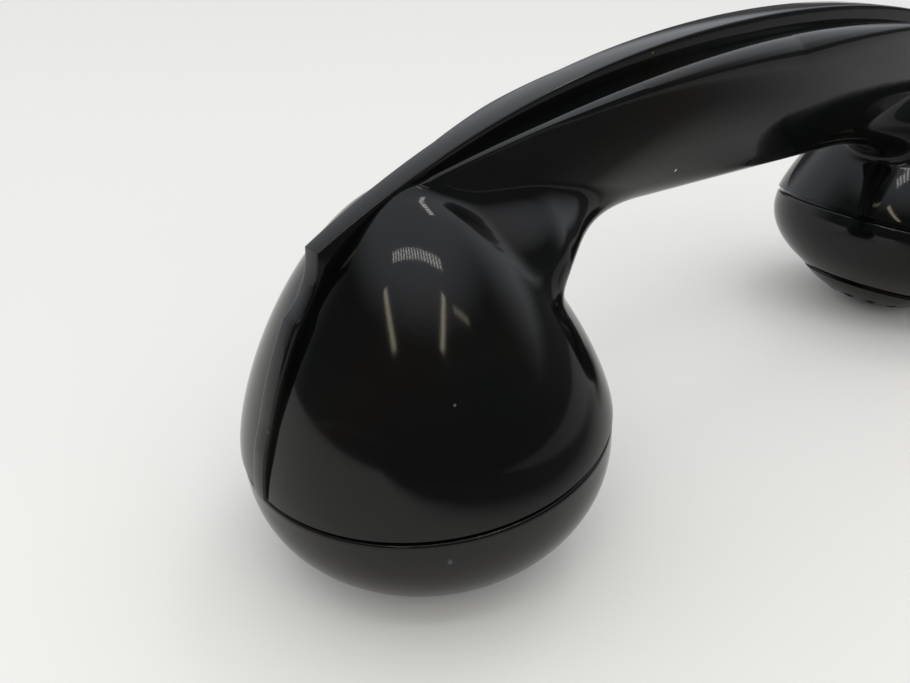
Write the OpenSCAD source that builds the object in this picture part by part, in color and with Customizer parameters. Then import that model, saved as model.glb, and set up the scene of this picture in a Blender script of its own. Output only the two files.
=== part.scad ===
// Telephone handset with a ridged back, two screw caps and two plug-in capsules.
// X runs along the handle, Y across it and Z up. The handset stands on its two caps, receiver end
// at -X and transmitter end at +X. Pieces inside a cup are placed in the cup's own frame, whose
// origin is the centre of the cup's rim and whose Z leads along the cup's axis into its dome.

/* [Handset] */
// Distance between the centres of the two cup rims
cup_spacing = 161; // [150:1:195]
// Outer diameter of a cup at its rim
cup_d = 64; // [62:0.5:76]
// Lean of the receiver cup's axis from upright, in degrees
receiver_lean = 6.3; // [4:0.1:8]
// Lean of the transmitter cup's axis from upright, in degrees
transmitter_lean = 13.9; // [12:0.1:15]
// Height of a cup's dome above its rim
dome_h = 41.7; // [38:0.1:46]
// How late the dome draws in above the rim
dome_swell = 1.3; // [1.2:0.05:1.4]
// How round the dome is at its top
dome_round = 0.62; // [0.56:0.01:0.66]
// Thickness of a cup's wall
cup_wall = 4.5; // [3.5:0.1:5.5]

/* [Handle] */
// Height of the back above the cup rims at mid-length
back_h = 58.7; // [55:0.1:68]
// Fall of the back from mid-length to above a cup, its round part
back_fall = 9.9; // [8:0.1:11]
// Fall of the back from mid-length to above a cup, its steep end part
back_curl = 2; // [1.5:0.1:3]
// How much higher the back is above the transmitter than at mid-length, before it falls
back_rise = 1.7; // [1:0.1:2.2]
// Height of the underside above the cup rims at mid-length
grip_z = 26.9; // [25:0.1:29]
// Fall of the underside from mid-length to the transmitter
grip_fall = 2; // [1:0.1:2.6]
// Half width of the grip at its shoulders, at mid-length
shoulder_y = 12; // [10.5:0.1:14.5]
// Half width of the grip where its sides turn under
crease_y = 8.6; // [7:0.1:10]
// Drop of that turn below the back
crease_drop = 22; // [19:0.1:24]
// Half width of the flat underside
under_y = 3.4; // [2.5:0.1:4.5]
// Drop of the shoulders below the ridge's top at mid-length
shoulder_drop = 2.8; // [1.8:0.1:3.4]
// Narrowing of the grip from mid-length to above a cup, at its shoulders
shoulder_draw = 7.9; // [6:0.1:8.4]
// Narrowing of the grip from mid-length to above a cup, where its sides turn under
crease_draw = 3.1; // [2:0.1:4.5]
// Size of the hollow that blends the handle's underside into each cup
neck_blend = 23; // [18:0.5:26]
// Bore of the wire channel through the handle
channel_d = 6; // [4:0.5:7]
// Height of the wire channel above the cup rims
channel_z = 33; // [32:0.1:34]

/* [Ridge] */
// Width of the ridge at mid-length
ridge_w = 6.8; // [5:0.1:8]
// Width of the ridge down the cups
ridge_end_w = 3.7; // [3:0.1:4.5]
// Distance of the ridge's corner from the cup's axis
ridge_reach = 16.1; // [15:0.1:18]
// Stand of the ridge proud of the dome
ridge_proud = 1.1; // [0.6:0.1:1.6]
// Bevel along the ridge's edges
ridge_bevel = 0.35; // [0.2:0.05:0.6]

/* [Caps] */
// Depth of the receiver's cap below its cup's rim
cap_depth = 24; // [23:0.1:27]
// Radius of the rim that the receiver's cap stands on
cap_face_r = 17.3; // [16:0.1:19]
// Radius of the transmitter cap's domed mouthpiece
mouth_round = 31; // [30:0.5:32]
// Radius of the mouthpiece where it meets the cap's skirt
mouth_r = 18.6; // [18:0.1:19.4]
// Thickness of a cap's shell
cap_wall = 3; // [2.4:0.1:3.4]
// Width of the groove between a cap and its cup
seam_gap = 0.3; // [0.2:0.05:0.6]
// Length of the cup's threaded neck
neck_len = 9; // [7:0.1:10]
// Outer diameter of the threaded neck
neck_d = 51.6; // [50.4:0.1:52.4]
// Radial gap between a cap's skirt and the neck
thread_gap = 0.3; // [0.2:0.05:0.5]
// Diameter of a sound hole
sound_hole_d = 2.8; // [2:0.1:3.6]

/* [Capsules] */
// Diameter of a capsule's case
case_d = 44.6; // [43.6:0.1:45.2]
// Wall of a capsule's case
case_wall = 1; // [0.8:0.1:1.4]
// Height of the receiver capsule's case above its flange
receiver_h = 14; // [13.5:0.1:14.5]
// Height of the transmitter capsule's case above its flange
transmitter_h = 14; // [13.5:0.1:14.5]
// Diameter of a capsule's flange
flange_d = 49.8; // [49:0.1:50.2]
// Thickness of a capsule's flange
flange_t = 1.2; // [1:0.1:1.4]
// Thickness of the felt ring under a flange
felt_t = 0.8; // [0.5:0.1:1.2]
// Gap between pieces that part when a cap is unscrewed
seat_gap = 0.2; // [0.15:0.05:0.3]

/* [Contacts] */
// Height of a contact block's lower face above the cup's rim
block_z = 9; // [8.6:0.1:9.6]
// Thickness of a contact block
block_t = 3; // [2.5:0.1:3.5]
// Diameter of a contact block
block_d = 43; // [41:0.5:44]
// Thickness of a contact spring
spring_t = 0.4; // [0.3:0.05:0.5]
// Width of a contact spring
spring_w = 5; // [4:0.1:6]
// Diameter of a contact button
button_d = 8; // [7:0.1:9]
// Thickness of a contact button
button_t = 1; // [0.8:0.1:1.2]
// Diameter of a wire
wire_d = 1.6; // [1.2:0.1:2]

/* [Cord inlet] */
// Bore of the cord bush
bush_bore_d = 6; // [5:0.1:6.4]
// Wall of the cord bush
bush_wall = 1.2; // [1:0.1:1.6]
// Height of the cord bush above the cup's rim
bush_z = 17.2; // [16.5:0.1:18]

/* [Hidden] */
$fn = 96;

receiver = -1;
transmitter = 1;
cup_r = cup_d / 2;
cup_x = cup_spacing / 2;
// The receiver's cap stands on its outer edge, which sets the height of both cup rims.
seam_z = cap_face_r * sin(receiver_lean) + cap_depth * cos(receiver_lean);
epsilon = 0.01;
function lean(side) = side < 0 ? receiver_lean : transmitter_lean;

// Roundings of the moulded form
shoulder_rise = 1.4;
shoulder_slope = 0.1;
shoulder_round = 0.8;
shoulder_soft = 5.5;
crease_round = 5;
fillet_top = 1.5;
neck_low = 13;
neck_full = 30;
neck_high = 44;
neck_reach = 19;

// Places along a cup's own axis, measured up from its rim
flange_top = -neck_len - seat_gap;
flange_low = flange_top - flange_t;
felt_low = flange_low - felt_t;
ledge_z = felt_low - seat_gap;
chamber_top = 6;
block_top = block_z + block_t;
hollow_top = dome_h - cup_wall - 3;

// Fits inside a cup
chamber_gap = 0.6;
block_gap = 0.3;
screw_gap = 0.05;
chamber_r = case_d / 2 + chamber_gap;
block_seat = 2.5;
boss_r = 3;
boss_y = 15;
boss_h = 14;
screw_r = 1.2;
terminal_r = 1;
clamp_screw_r = 0.9;

// The handset's frame has its origin midway between the centres of the two cup rims.
module in_handset() translate([centre_shift, 0, seam_z]) children();
// A cup's own frame: X leads away from the handle and Z into the dome.
module at_cup(side)
    in_handset()
        translate([side * cup_x, 0, 0])
            rotate([0, side * lean(side), 0])
                mirror([side < 0 ? 1 : 0, 0, 0])
                    children();
// A point of a cup's frame in the handset's frame
function from_cup(side, p) =
    [side * (cup_x + p.x * cos(lean(side)) + p.z * sin(lean(side))), p.y,
     p.z * cos(lean(side)) - p.x * sin(lean(side))];

// ---------- The moulded form: two domes blended into a handle ----------
// The form is found as the zero of a distance-like field, in the handset's frame. It is worked out
// from each cup to mid-length; "out" is the distance from mid-length towards that cup.

function dome_r(h) = cup_r * pow(1 - pow(h / dome_h, dome_swell), dome_round);
function dome_slope(h) =
    let (t = max(h, epsilon) / dome_h)
    -cup_r * dome_round * dome_swell * pow(t, dome_swell - 1)
    * pow(1 - pow(t, dome_swell), dome_round - 1) / dome_h;

function smooth_max(a, b, k) = max(a, b) + pow(max(k - abs(a - b), 0), 2) / (4 * k);
function smooth_min(a, b, k) = -smooth_max(-a, -b, k);
function share(value) = min(max(value, 0), 1);
function spaced(from, to, steps) = [for (i = [0 : steps]) from + (to - from) * i / steps];

// The back rises towards the transmitter and turns down over it.
back_skew = 0.9;
back_turn = 47;
back_turn_at = 0.9;
function back_z(x) =
    let (u = x / cup_x)
    back_h + back_rise * u - back_fall * pow(u, 2) + back_skew * pow(u, 3) - back_curl * pow(u, 4)
    - back_turn * pow(max(u - back_turn_at, 0), 2);
function under_z(x) = grip_z - grip_fall * x / cup_x;

// The shoulders draw in until they pass under the ridge above each cup.
function shoulder_at(x) =
    let (u = abs(x) / cup_x)
    [max(shoulder_y - shoulder_draw * pow(u, 2.6), ridge_end_w / 2 - ridge_bevel),
     back_z(x) - shoulder_drop + shoulder_rise * pow(u, 3)];

function dome_gap(p) =
    let (
        side = p.x < 0 ? receiver : transmitter,
        dx = side * p.x - cup_x,
        h = p.z * cos(lean(side)) + dx * sin(lean(side)),
        out = norm([dx * cos(lean(side)) - p.z * sin(lean(side)), p.y]),
        hd = min(max(h, 0), dome_h - epsilon)
    )
    h > hd ? norm([out, h - hd])
        : (out - dome_r(hd)) / norm([1, dome_slope(hd)]);

// Signed distance from a straight side that runs through a and b, seen in a cross-section.
function side_gap(q, a, b) = cross(b - a, q - a) / norm(b - a);

function handle_gap(p) =
    let (
        u = abs(p.x) / cup_x,
        q = [abs(p.y), p.z],
        shoulder = shoulder_at(p.x),
        crease = [crease_y - crease_draw * pow(u, 2), back_z(p.x) - crease_drop],
        under = [under_y, under_z(p.x)],
        edge_r = shoulder_round + shoulder_soft * max(1 - u * 1.3, 0),
        flank = smooth_max(side_gap(q, shoulder, crease), side_gap(q, crease, under), crease_round),
        lower = smooth_max(flank, under.y - p.z, crease_round)
    )
    smooth_max(lower, p.z - shoulder.y + shoulder_slope * (shoulder.x - q.x), edge_r);

// The blend of dome and handle is tight at the top and wide where the underside meets the cup.
function body_gap(p) =
    let (
        upward = share((p.z - neck_low) / (neck_full - neck_low))
            * share((neck_high - p.z) / (neck_high - neck_full)),
        inward = share((cup_x - abs(p.x)) / neck_reach)
    )
    smooth_min(dome_gap(p), handle_gap(p), fillet_top + neck_blend * upward * inward);

function surface_at(c, d, near, far, steps) =
    let (mid = (near + far) / 2)
    steps == 0 ? c + mid * d
        : body_gap(c + mid * d) > 0 ? surface_at(c, d, near, mid, steps - 1)
        : surface_at(c, d, mid, far, steps - 1);

// Rings of points run round the form in planes that fan out from a line under the handle's neck,
// from the cup's rim round to upright, and then stay upright to mid-length.
fan_out = cup_x - 1.5 * cup_r;
fan_steps = 16;
grip_steps = 4;
top_steps = 3;
side_steps = 13;
reach = 42;
halvings = 16;

function fan_z(side) = 1.5 * cup_r * tan(lean(side));
function fan_angle(side, i) = -lean(side) + (90 + lean(side)) * min(i / fan_steps, 1);
function ring_x(side, i) = side * fan_out * (1 - max(i - fan_steps, 0) / grip_steps);
function ring_out(side, i) = [side * cos(fan_angle(side, i)), 0, sin(fan_angle(side, i))];
// The rings' centres rise or fall along the grip to one height at mid-length.
middle_z = 45;
function ring_centre(side, i) =
    let (
        turn = share((fan_angle(side, i) - 10) / 50),
        inward = share((i - fan_steps) / grip_steps),
        c = [ring_x(side, i), 0, fan_z(side)] + (1.5 * cup_r - 11 * turn) * ring_out(side, i)
    )
    [c.x, 0, c.z + (middle_z - c.z) * inward];

// The place where the shoulder's edge passes through a fan plane
function shoulder_x(side, angle, low, high, steps) =
    let (mid = (low + high) / 2, rise = shoulder_at(side * mid).y - fan_z(side))
    steps == 0 ? side * mid
        : rise * cos(angle) > (mid - fan_out) * sin(angle) ? shoulder_x(side, angle, mid, high, steps - 1)
        : shoulder_x(side, angle, low, mid, steps - 1);
function shoulder_turn(side, i) =
    let (
        x = i < fan_steps ? shoulder_x(side, fan_angle(side, i), fan_out, 1.3 * cup_x, halvings)
            : ring_x(side, i),
        edge = shoulder_at(x),
        out = ([x, 0, edge.y] - ring_centre(side, i)) * ring_out(side, i)
    )
    atan2(edge.x, out);

function ring_turns(side, i) =
    let (edge = shoulder_turn(side, i))
    concat([for (j = [0 : top_steps - 1]) edge * j / top_steps],
           [for (j = [0 : side_steps]) edge + (180 - edge) * j / side_steps]);
function half_ring(side, i) =
    [for (turn = ring_turns(side, i))
        surface_at(ring_centre(side, i), cos(turn) * ring_out(side, i) + sin(turn) * [0, -1, 0],
                   0, reach, halvings)];
function flip_y(p) = [p.x, -p.y, p.z];
function full_ring(half) =
    concat(half, [for (j = [len(half) - 2 : -1 : 1]) flip_y(half[j])]);
function reversed(list) = [for (i = [len(list) - 1 : -1 : 0]) list[i]];

function ring_faces(count, size) =
    [for (i = [0 : count - 2], j = [0 : size - 1])
        let (k = (j + 1) % size)
        each [[i * size + j, (i + 1) * size + k, i * size + k],
              [i * size + j, (i + 1) * size + j, (i + 1) * size + k]]];

module skin(rings) {
    size = len(rings[0]);
    last = (len(rings) - 1) * size;
    polyhedron(
        points = [for (ring = rings) each ring],
        faces = concat(
            [[for (j = [0 : size - 1]) j]],
            ring_faces(len(rings), size),
            [[for (j = [size - 1 : -1 : 0]) last + j]]
        )
    );
}

// From the receiver's rim to mid-length, and on to the transmitter's rim
module form()
    skin(concat(
        [for (i = [0 : fan_steps + grip_steps]) full_ring(half_ring(receiver, i))],
        [for (i = [fan_steps + grip_steps - 1 : -1 : 0]) full_ring(half_ring(transmitter, i))]
    ));

// ---------- The ridge along the back and down both cups ----------
ridge_join_h = 27;
ridge_corner_h = 36.3;
ridge_root = 3;
ridge_depth = 7;
ridge_rim_proud = 0.4;
ridge_lift = 0.1;
ridge_lift_from = 12;
ridge_cup_steps = 9;
ridge_nose_steps = 5;
ridge_back_steps = 14;

function ridge_tip_x(side) = from_cup(side, [ridge_reach, 0, ridge_corner_h]).x;
// The ridge is rooted towards this point where it turns over a dome.
function ridge_focus(side) = [side * (cup_x + 6), 22];

// A point of the cup's own frame in the plane of symmetry
function cup_xz(side, out, h) = let (p = from_cup(side, [out, 0, h])) [p.x, p.z];
function ridge_stand(h) =
    ridge_rim_proud + (ridge_proud - ridge_rim_proud) * min(h / 8, 1)
    + ridge_lift * max(h - ridge_lift_from, 0);
function ridge_cup_out(h) = dome_r(h) + ridge_stand(h);
// The ridge narrows a little on its way down from the tip to the rim.
ridge_narrow = 0.2;
function ridge_low_w(share) = ridge_end_w - ridge_narrow * share;

// Each station is [outer point, inner point, half width].
function ridge_cup_station(side, h) =
    [cup_xz(side, ridge_cup_out(h), h), cup_xz(side, dome_r(h) - ridge_root, h),
     ridge_low_w(1 - 0.75 * h / ridge_join_h) / 2];
function ridge_toward_focus(p, depth) =
    let (
        side = p.x < 0 ? receiver : transmitter,
        focus = [side * min(abs(ridge_focus(side).x), abs(p.x)), ridge_focus(side).y]
    )
    p + depth * (focus - p) / norm(focus - p);
function ridge_nose_station(side, t) =
    let (
        low = cup_xz(side, ridge_cup_out(ridge_join_h), ridge_join_h),
        tip_x = ridge_tip_x(side),
        tip = [tip_x, back_z(tip_x)],
        bend = [tip.x, low.y + 0.35 * (tip.y - low.y)],
        p = pow(1 - t, 2) * low + 2 * t * (1 - t) * bend + t * t * tip,
        shallow = ridge_root + ridge_proud
    )
    [p, ridge_toward_focus(p, shallow + (ridge_depth - shallow) * t), ridge_low_w(0.25 * (1 - t)) / 2];
function ridge_back_station(side, share) =
    let (
        x = ridge_tip_x(side) * share,
        p = [x, back_z(x)],
        w = ridge_w - (ridge_w - ridge_end_w) * pow(share, 2)
    )
    [p, ridge_toward_focus(p, ridge_depth), w / 2];

function ridge_stations(side) = concat(
    [for (i = [0 : ridge_cup_steps]) ridge_cup_station(side, ridge_join_h * i / ridge_cup_steps)],
    [for (i = [1 : ridge_nose_steps]) ridge_nose_station(side, i / ridge_nose_steps)],
    [for (i = [1 : ridge_back_steps]) ridge_back_station(side, 1 - i / ridge_back_steps)]
);

function ridge_ring(s) =
    let (
        in = (s[1] - s[0]) / norm(s[1] - s[0]),
        edge = s[0] + ridge_bevel * in,
        w = s[2]
    )
    [[s[0].x, ridge_bevel - w, s[0].y], [edge.x, -w, edge.y], [s[1].x, -w, s[1].y],
     [s[1].x, w, s[1].y], [edge.x, w, edge.y], [s[0].x, w - ridge_bevel, s[0].y]];

module ridge() {
    near = ridge_stations(receiver);
    far = reversed(ridge_stations(transmitter));
    skin([for (s = concat(near, [for (i = [1 : len(far) - 1]) far[i]])) ridge_ring(s)]);
}

// ---------- The handset body ----------
// The bush's flange is let into the dome as deep as it takes to seat all round.
bush_r = bush_bore_d / 2 + bush_wall;
bush_flange_r = bush_r + 0.9;
bush_in = 18;
bush_seat = dome_r(bush_z + bush_flange_r) - 0.15;
bush_out = dome_r(bush_z) + ridge_proud + 0.3;
channel_end = 9;
function channel_x(side) = cup_x + channel_z * tan(lean(side)) - channel_end;

// The handset is shifted so that its ends, down the ridge and at the bush, lie equally far out.
receiver_end = min([for (s = ridge_stations(receiver)) s[0].x]);
transmitter_end = max(from_cup(transmitter, [bush_out, 0, bush_z + bush_flange_r]).x,
                      max([for (s = ridge_stations(transmitter)) s[0].x]));
centre_shift = -(receiver_end + transmitter_end) / 2;

function hollow_r(z) = min(block_d / 2 - block_seat, dome_r(z) - cup_wall);

module cup_hollow() {
    low = -neck_len - 1;
    translate([0, 0, low]) cylinder(r = chamber_r, h = chamber_top - low);
    translate([0, 0, chamber_top - epsilon])
        cylinder(d = block_d + 2 * block_gap, h = block_top - chamber_top + epsilon);
    rotate_extrude()
        polygon(concat(
            [[0, block_top - epsilon]],
            [for (z = spaced(block_top - epsilon, hollow_top, 8)) [hollow_r(z), z]],
            [[0, hollow_top]]
        ));
}

module cup_neck()
    translate([0, 0, -neck_len]) cylinder(d = neck_d, h = neck_len + epsilon);

module boss()
    difference() {
        translate([0, 0, block_top]) cylinder(r = boss_r, h = boss_h);
        translate([0, 0, block_top - 1]) cylinder(r = screw_r + screw_gap, h = boss_h - 1);
    }

module along_x(x, y, z) translate([x, y, z]) rotate([0, 90, 0]) children();

module handset_body() color("#2a2b2d") {
    difference() {
        union() {
            in_handset() form();
            in_handset() ridge();
            for (side = [receiver, transmitter]) at_cup(side) cup_neck();
        }
        for (side = [receiver, transmitter]) at_cup(side) cup_hollow();
        in_handset() along_x(-channel_x(receiver), 0, channel_z)
            cylinder(d = channel_d, h = channel_x(receiver) + channel_x(transmitter));
        at_cup(transmitter) along_x(bush_in - 1, 0, bush_z) cylinder(r = bush_r + screw_gap, h = cup_r);
        at_cup(transmitter) along_x(bush_seat, 0, bush_z)
            cylinder(r = bush_flange_r + screw_gap, h = cup_r);
    }
    for (side = [receiver, transmitter], end = [-1, 1])
        at_cup(side) translate([0, end * boss_y, 0]) boss();
}

// ---------- Caps ----------
cap_r_max = cup_r - 0.1;
cap_belly = 3;
cap_power = 2.5;
cap_bend = 0.7;
cap_span = (cap_depth - cap_belly)
    / pow(1 - pow(cap_face_r / cap_r_max, 1 / cap_bend), 1 / cap_power);
cap_chamfer = 0.6;
dish_r = cap_face_r - 1.2;
dish_depth = 3.6;
inner_r = flange_d / 2 - 2.8;
skirt_r = neck_d / 2 + thread_gap;

// The receiver's cap swells below its seam and curves in to the rim round its dished face.
function receiver_r(d) =
    cap_r_max * pow(1 - pow(max(d - cap_belly, 0) / cap_span, cap_power), cap_bend);
// The transmitter's skirt is a quarter of an ellipse. Its mouthpiece is a dome that rests on the table.
skirt_span = 19.4;
skirt_end = 17.1;
function transmitter_r(d) = cap_r_max * sqrt(1 - pow(max(d - cap_belly, 0) / skirt_span, 2));
mouth_up = (mouth_round - seam_z) / cos(transmitter_lean);
function mouth_d(x) = sqrt(pow(mouth_round, 2) - x * x) - mouth_up;
mouth_inner = mouth_round - cap_wall;
mouth_floor_r = 13.5;
function mouth_floor_d(x) = sqrt(pow(mouth_inner, 2) - x * x) - mouth_up;
groove_w = 0.7;
groove_deep = 0.6;

function dish(steps) =
    [for (x = spaced(dish_r, 0, steps)) [x, -cap_depth + dish_depth * (1 - pow(x / dish_r, 2))]];
skirt_inside = [[inner_r, ledge_z], [skirt_r, ledge_z], [skirt_r, -seam_gap]];
floor_d = cap_depth - dish_depth - cap_wall;

module sound_holes(count, ring_r, depth)
    for (i = [0 : count - 1])
        rotate(360 / count * i)
            translate([ring_r, 0, -depth - 1]) cylinder(d = sound_hole_d, h = depth / 2, $fn = 24);

module receiver_cap() color("#26272a") at_cup(receiver)
    difference() {
        rotate_extrude()
            polygon(concat(
                [[cap_r_max - cap_chamfer, -seam_gap]],
                [for (d = spaced(seam_gap + cap_chamfer, cap_depth, 14)) [receiver_r(d), -d]],
                dish(8),
                [[0, -floor_d], [inner_r - 5, -floor_d], [inner_r, -floor_d + 3.5]],
                skirt_inside
            ));
        sound_holes(1, 0, cap_depth);
        sound_holes(6, 6.5, cap_depth);
    }

module transmitter_cap() color("#26272a") at_cup(transmitter)
    difference() {
        rotate_extrude()
            polygon(concat(
                [[cap_r_max - cap_chamfer, -seam_gap]],
                [for (d = spaced(seam_gap + cap_chamfer, skirt_end, 12)) [transmitter_r(d), -d]],
                [[mouth_r + groove_w, -mouth_d(mouth_r) + groove_w],
                 [mouth_r - groove_deep, -mouth_d(mouth_r) + groove_w]],
                [for (x = spaced(mouth_r, 0, 12)) [x, -mouth_d(x)]],
                [for (x = spaced(0, mouth_floor_r, 8)) [x, -mouth_floor_d(x)]],
                skirt_inside
            ));
        sound_holes(1, 0, mouth_d(0));
        sound_holes(6, 5.5, mouth_d(0));
        sound_holes(12, 11, mouth_d(0));
    }

// ---------- Pieces that both capsules have ----------
plate_t = 0.6;
clamp_t = 1.7;
sheet_t = 0.3;
bead_t = 1.5;
bead_w = 1;
lid_t = 1.2;
fit_gap = 0.15;
clamp_low = flange_low + plate_t;
sheet_low = clamp_low + clamp_t;
sheet_top = sheet_low + sheet_t;
case_r = case_d / 2;
case_in = case_r - case_wall;
disc_r = case_in - fit_gap;
sleeve_r = 4.5;
rivet_r = 1.5;
insulator_r = 7;
insulator_t = 0.6;
felt_w = 2.4;

module tube(outer, inner, low, high)
    translate([0, 0, low])
        difference() {
            cylinder(r = outer, h = high - low);
            translate([0, 0, -1]) cylinder(r = inner, h = high - low + 2);
        }

module capsule_case(top)
    rotate_extrude()
        polygon([
            [case_in, flange_low], [flange_d / 2, flange_low], [flange_d / 2, flange_top],
            [case_r, flange_top], [case_r, top - 0.8], [case_r - 0.8, top],
            [sleeve_r + fit_gap, top], [sleeve_r + fit_gap, top - lid_t], [case_in, top - lid_t],
            [case_in, sheet_top + bead_t], [case_in - bead_w, sheet_top + bead_t],
            [case_in - bead_w, sheet_top], [case_in, sheet_top]
        ]);

module grille(ring_r, step)
    difference() {
        translate([0, 0, flange_low]) cylinder(r = disc_r, h = plate_t);
        for (ring = [1 : 3], i = [0 : 6 * ring - 1])
            rotate(60 / ring * i)
                translate([ring_r + step * (ring - 1), 0, flange_low - 1])
                    cylinder(d = sound_hole_d, h = plate_t + 2, $fn = 24);
    }

module insulator(top) {
    tube(insulator_r, rivet_r + fit_gap, top, top + insulator_t);
    tube(sleeve_r, rivet_r + fit_gap, top - lid_t, top + epsilon);
}

module contact(top, stem) {
    translate([0, 0, top + insulator_t]) cylinder(d = button_d, h = button_t);
    translate([0, 0, top - stem]) cylinder(r = rivet_r, h = stem + insulator_t + epsilon);
}

module felt_ring() tube(flange_d / 2 - 0.2, flange_d / 2 - 0.2 - felt_w, felt_low, flange_low);
module clamp_ring() tube(disc_r, disc_r - 3, clamp_low, sheet_low);

// ---------- Receiver capsule ----------
receiver_top = flange_top + receiver_h;
magnet_h = 5;
magnet_low = receiver_top - lid_t - magnet_h;
magnet_out = 20;
magnet_in = 13;
foot_t = 1.5;
foot_w = 12;
post_t = 2.5;
post_w = 9;
post_x = 4.7;
air_gap = 0.3;
foot_low = magnet_low - foot_t;
post_low = sheet_top + air_gap;
bobbin_gap = 0.1;
bobbin_wall = 0.5;
bobbin_out = 2.1;
bobbin_low = post_low + 0.4;

module receiver_case() color("#b8babc") at_cup(receiver) capsule_case(receiver_top);
module receiver_grille() color("#c2b280") at_cup(receiver) grille(5, 5);
module receiver_clamp_ring() color("#b5a15a") at_cup(receiver) clamp_ring();
module receiver_diaphragm() color("#6d7278") at_cup(receiver)
    translate([0, 0, sheet_low]) cylinder(r = disc_r, h = sheet_t);

module receiver_pole_pieces() color("#8a8d90") at_cup(receiver)
    for (turn = [0, 180]) rotate(turn) {
        translate([post_x - post_t / 2, -foot_w / 2, foot_low])
            cube([magnet_out - 2 - post_x + post_t / 2, foot_w, foot_t]);
        translate([post_x - post_t / 2, -post_w / 2, post_low])
            cube([post_t, post_w, foot_low - post_low + epsilon]);
    }

module receiver_magnet() color("#54585c") at_cup(receiver)
    tube(magnet_out, magnet_in, magnet_low, magnet_low + magnet_h);

module post_frame(grow, low, high, hole)
    difference() {
        translate([post_x - post_t / 2 - grow, -post_w / 2 - grow, low])
            cube([post_t + 2 * grow, post_w + 2 * grow, high - low]);
        translate([post_x - post_t / 2 - hole, -post_w / 2 - hole, low - 1])
            cube([post_t + 2 * hole, post_w + 2 * hole, high - low + 2]);
    }

module receiver_bobbins() color("#7c5a33") at_cup(receiver)
    for (turn = [0, 180]) rotate(turn) {
        post_frame(bobbin_gap + bobbin_wall, bobbin_low, foot_low, bobbin_gap);
        post_frame(bobbin_out, bobbin_low, bobbin_low + bobbin_wall, bobbin_gap);
        post_frame(bobbin_out, foot_low - bobbin_wall, foot_low, bobbin_gap);
    }

module receiver_coils() color("#a4552a") at_cup(receiver)
    for (turn = [0, 180]) rotate(turn)
        post_frame(bobbin_out - 0.2, bobbin_low + bobbin_wall, foot_low - bobbin_wall,
                   bobbin_gap + bobbin_wall);

module receiver_insulator() color("#6b3b22") at_cup(receiver) insulator(receiver_top);
module receiver_contact() color("#c9a24a") at_cup(receiver) contact(receiver_top, lid_t + 1);
module receiver_felt_ring() color("#5d5a52") at_cup(receiver) felt_ring();

// ---------- Transmitter capsule ----------
transmitter_top = flange_top + transmitter_h;
membrane_t = 0.2;
cone_r = 17.4;
cone_top_r = 5;
cone_h = 4;
cone_top = sheet_top + cone_h;
electrode_t = 1;
chamber_out = 10;
granules_r = 8;
chamber_low = cone_top + 1.2;
chamber_high = transmitter_top - lid_t;
back_t = 1.8;
granules_low = cone_top + electrode_t + 0.2;
back_low = chamber_high - 1 - back_t;

module transmitter_case() color("#b8babc") at_cup(transmitter) capsule_case(transmitter_top);
module transmitter_grille() color("#c2b280") at_cup(transmitter) grille(4, 6);
module transmitter_membrane() color("#d8c58a") at_cup(transmitter)
    translate([0, 0, clamp_low]) cylinder(r = disc_r, h = membrane_t);
module transmitter_clamp_ring() color("#b5a15a") at_cup(transmitter)
    tube(disc_r, disc_r - 3, clamp_low + membrane_t, sheet_low);

// A thin sheet with a flat rim that rises to a flat centre as a cone
module transmitter_diaphragm() color("#c9ccce") at_cup(transmitter)
    rotate_extrude()
        polygon([
            [0, cone_top - sheet_t], [cone_top_r, cone_top - sheet_t], [cone_r, sheet_low],
            [disc_r, sheet_low], [disc_r, sheet_top], [cone_r, sheet_top],
            [cone_top_r, cone_top], [0, cone_top]
        ]);

module transmitter_front_electrode() color("#2f2f31") at_cup(transmitter)
    translate([0, 0, cone_top]) cylinder(r = cone_top_r - 0.2, h = electrode_t);

module transmitter_chamber() color("#4a2c1c") at_cup(transmitter)
    rotate_extrude()
        polygon([
            [granules_r, chamber_low], [chamber_out, chamber_low], [chamber_out, chamber_high],
            [rivet_r + fit_gap, chamber_high], [rivet_r + fit_gap, chamber_high - 1],
            [granules_r, chamber_high - 1]
        ]);

module transmitter_granules() color("#1d1d1f") at_cup(transmitter)
    translate([0, 0, granules_low]) cylinder(r = granules_r - fit_gap, h = back_low - granules_low);

module transmitter_back_electrode() color("#333335") at_cup(transmitter)
    translate([0, 0, back_low]) cylinder(r = granules_r - fit_gap, h = back_t);

module transmitter_insulator() color("#6b3b22") at_cup(transmitter) insulator(transmitter_top);
module transmitter_contact() color("#c9a24a") at_cup(transmitter) contact(transmitter_top, lid_t + 1);
module transmitter_felt_ring() color("#5d5a52") at_cup(transmitter) felt_ring();

// ---------- Contact blocks ----------
plate_h = 0.6;
plate_low = block_z - plate_h;
plate_len = 9.5;
plate_w = 6;
plate_edge = 2.2;
head_h = 1.2;
terminal_head_r = 2;
nut_r = 2.2;
nut_h = 1.5;
tag_h = 0.6;
tag_low = block_top + nut_h;
stud_top = tag_low + tag_h + 0.8;
tip_gap = 0.3;
tip_len = 4;
root_len = 3.5;
tip_r = 1.2;

// Each terminal is [place of its screw, direction in which its spring leads].
centre_terminal = [[-16.4, 0], 1];
case_terminal = [[13.2, 10], -1];
spring_terminals = [centre_terminal, case_terminal];
// Two plain terminals in the transmitter's cup take the wires from the receiver.
line_terminals = [[-10, -11], [9, -12]];
clamp_x = 6;
clamp_y = 6;

module screw_places() for (end = [-1, 1]) translate([0, end * boss_y, 0]) children();
module clamp_places() for (end = [-1, 1]) translate([clamp_x, end * clamp_y, 0]) children();

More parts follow.
